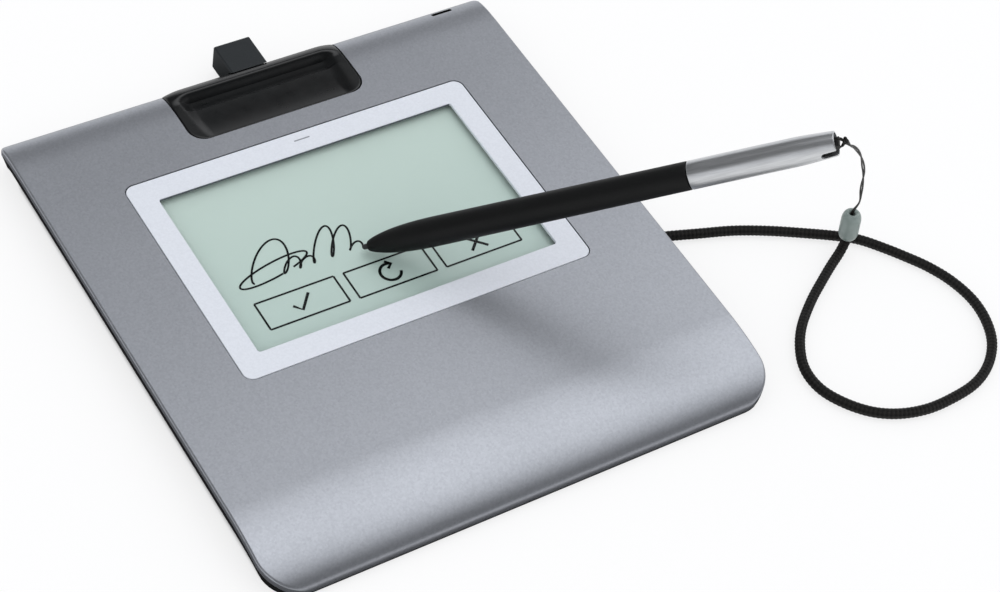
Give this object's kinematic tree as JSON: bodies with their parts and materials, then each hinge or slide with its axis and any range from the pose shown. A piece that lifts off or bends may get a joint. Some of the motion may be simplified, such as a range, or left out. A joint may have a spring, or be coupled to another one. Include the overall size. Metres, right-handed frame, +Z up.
{
  "type": "signature pad",
  "caption": "Flat desktop signature pad with a recessed display, a pen groove, a rear port and a tethered pen standing with its nib at the writing glass.",
  "frame": {"origin": "centre of the bottom case's flat underside, 0.8 mm above the surface that the rubber feet stand on", "axes": "+X to the pad's right as its user sees it, +Y to the rear edge with the port, +Z up"},
  "size_m": [0.2394, 0.2053, 0.0812],
  "materials": {
    "silver_paint": "satin silver-grey paint with a fine metallic grain",
    "black_base_plastic": "fine matt texture",
    "light_bezel_plastic": "smooth satin",
    "writing_glass": "etched, low glare",
    "lcd_grey_green": "satin polariser film",
    "black_inner_plastic": "matt",
    "circuit_board": "solder mask",
    "plated_steel": "bright zinc plating",
    "blackened_steel": "black oxide",
    "gloss_black_plastic": "polished",
    "dark_grey_plastic": "satin",
    "chip_resin": "matt",
    "ribbon_film": "smooth film",
    "foot_rubber": "matt",
    "cord_braid": "tight braid",
    "string_fibre": "laid fibre",
    "sleeve_plastic": "milky, slightly see-through",
    "nib_plastic": "smooth",
    "grip_soft_plastic": "soft matt",
    "barrel_silver": "satin silver",
    "ferrite": "fired, matt",
    "coil_copper": "enamelled wire"
  },
  "bodies": {
    "pad": {"top_cover": "silver_paint", "bottom_case": "black_base_plastic", "display_bezel": "light_bezel_plastic", "writing_glass": "writing_glass", "lcd_panel": "lcd_grey_green", "display_frame": "black_inner_plastic", "sensor_board": "circuit_board", "shield_sheet": "plated_steel", "main_board": "circuit_board", "controller_chip": "chip_resin", "sensor_ribbon": "ribbon_film", "display_ribbon": "ribbon_film", "board_screw_left": "plated_steel", "board_screw_right": "plated_steel", "port_housing": "dark_grey_plastic", "port_shell": "plated_steel", "port_tongue": "black_inner_plastic", "pen_tray": "gloss_black_plastic", "lock_plate": "plated_steel", "foot_rear_left": "foot_rubber", "foot_rear_right": "foot_rubber", "foot_front_left": "foot_rubber", "foot_front_right": "foot_rubber", "case_screw_rear_left": "blackened_steel", "case_screw_rear_right": "blackened_steel", "case_screw_middle_left": "blackened_steel", "case_screw_middle_right": "blackened_steel", "case_screw_front_left": "blackened_steel", "case_screw_front_right": "blackened_steel", "tether_anchor": "black_inner_plastic", "anchor_screw": "blackened_steel", "tether_cord": "cord_braid", "tether_sleeve": "sleeve_plastic"},
    "pen": {"pen_grip": "grip_soft_plastic", "pen_barrel": "barrel_silver", "pen_tail": "black_inner_plastic", "ferrite_core": "ferrite", "pen_coil": "coil_copper", "pressure_cell": "black_inner_plastic", "pen_circuit": "circuit_board", "string_loop": "string_fibre", "tether_string": "string_fibre"},
    "nib": {"pen_nib": "nib_plastic"}
  },
  "joints": [
    {"name": "pen_lift", "type": "slide", "parent": "pad", "child": "pen", "axis": [0.7147, -0.4995, 0.4895], "range_m": [0, 0.015], "deforming": ["tether_string"]},
    {"name": "nib_press", "type": "slide", "parent": "pen", "child": "nib", "axis": [0.7147, -0.4995, 0.4895], "range_m": [0, 0.0004], "stiffness_N_per_m": 500}
  ]
}
